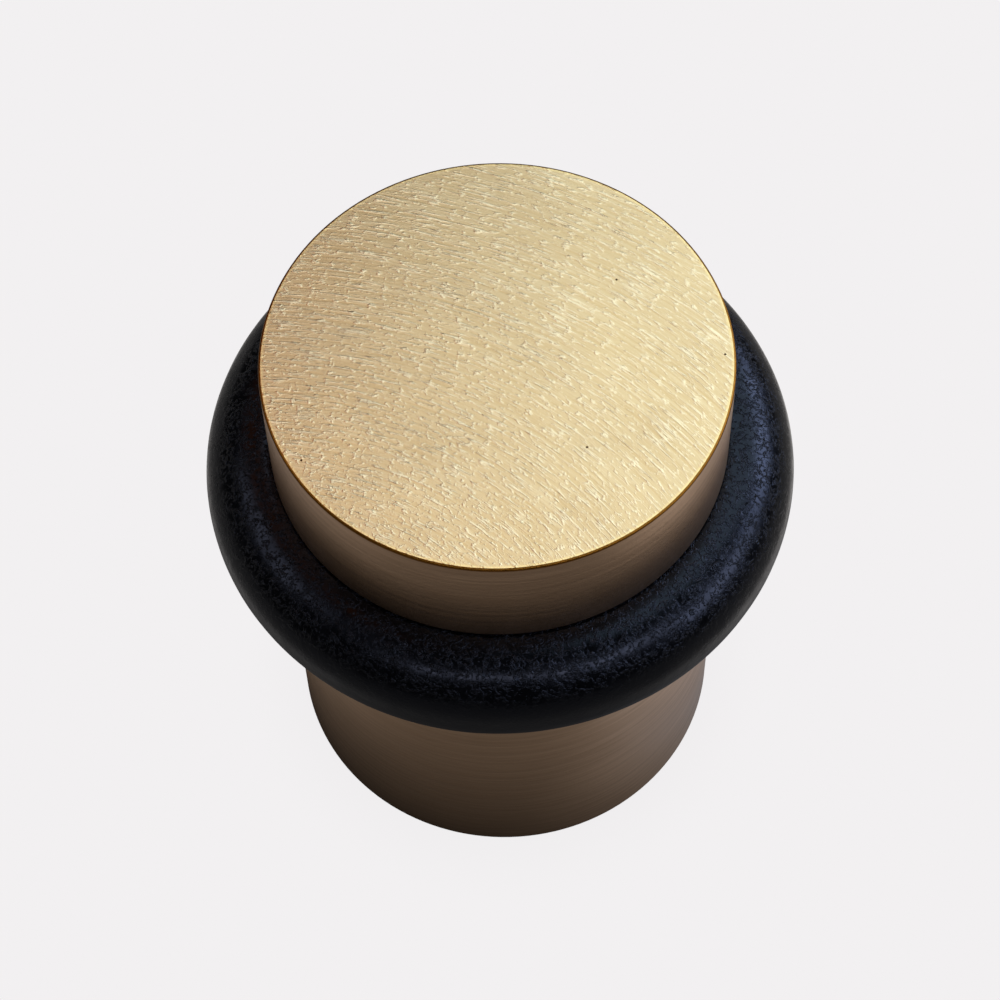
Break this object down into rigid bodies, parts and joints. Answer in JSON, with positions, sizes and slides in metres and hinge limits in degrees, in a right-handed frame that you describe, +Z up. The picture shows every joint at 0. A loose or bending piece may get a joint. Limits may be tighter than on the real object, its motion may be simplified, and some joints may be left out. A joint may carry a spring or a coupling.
{
  "type": "floor door stop",
  "caption": "Round brass floor post in two halves that screw together round a rubber buffer ring; a hidden screw and plug hold it to the floor.",
  "frame": {"origin": "on the post's axis at floor level, in the plane of the underside that stands on the floor", "axes": "+Z up along the post's axis; the part looks the same from every side, and the wall plug's fins point along +Y and -Y"},
  "size_m": [0.039, 0.039, 0.0846],
  "materials": {
    "satin_brass": "fine satin, turned on the sides and linished across the top",
    "black_rubber": "matt, faintly scuffed",
    "black_oxide_steel": "black oxide, dull",
    "zinc_plated_steel": "bright zinc plate",
    "grey_nylon": "matt moulded"
  },
  "bodies": {
    "post_base": {"base": "satin_brass", "floor_screw": "zinc_plated_steel", "wall_plug": "grey_nylon"},
    "ring": {"buffer_ring": "black_rubber"},
    "head": {"cap": "satin_brass", "joining_stud": "black_oxide_steel"}
  },
  "joints": [
    {"name": "cap_rise", "type": "slide", "parent": "post_base", "child": "ring", "axis": [0, 0, 1], "range_m": [0, 0.00875]},
    {"name": "cap_turn", "type": "hinge", "parent": "ring", "child": "head", "pos_m": [0, 0, 0.0255], "axis": [0, 0, 1], "range_deg": [0, 1800]}
  ],
  "couplings": [
    {"joint": "cap_rise", "follows": "cap_turn", "m_per_rad": 0.00027852}
  ]
}
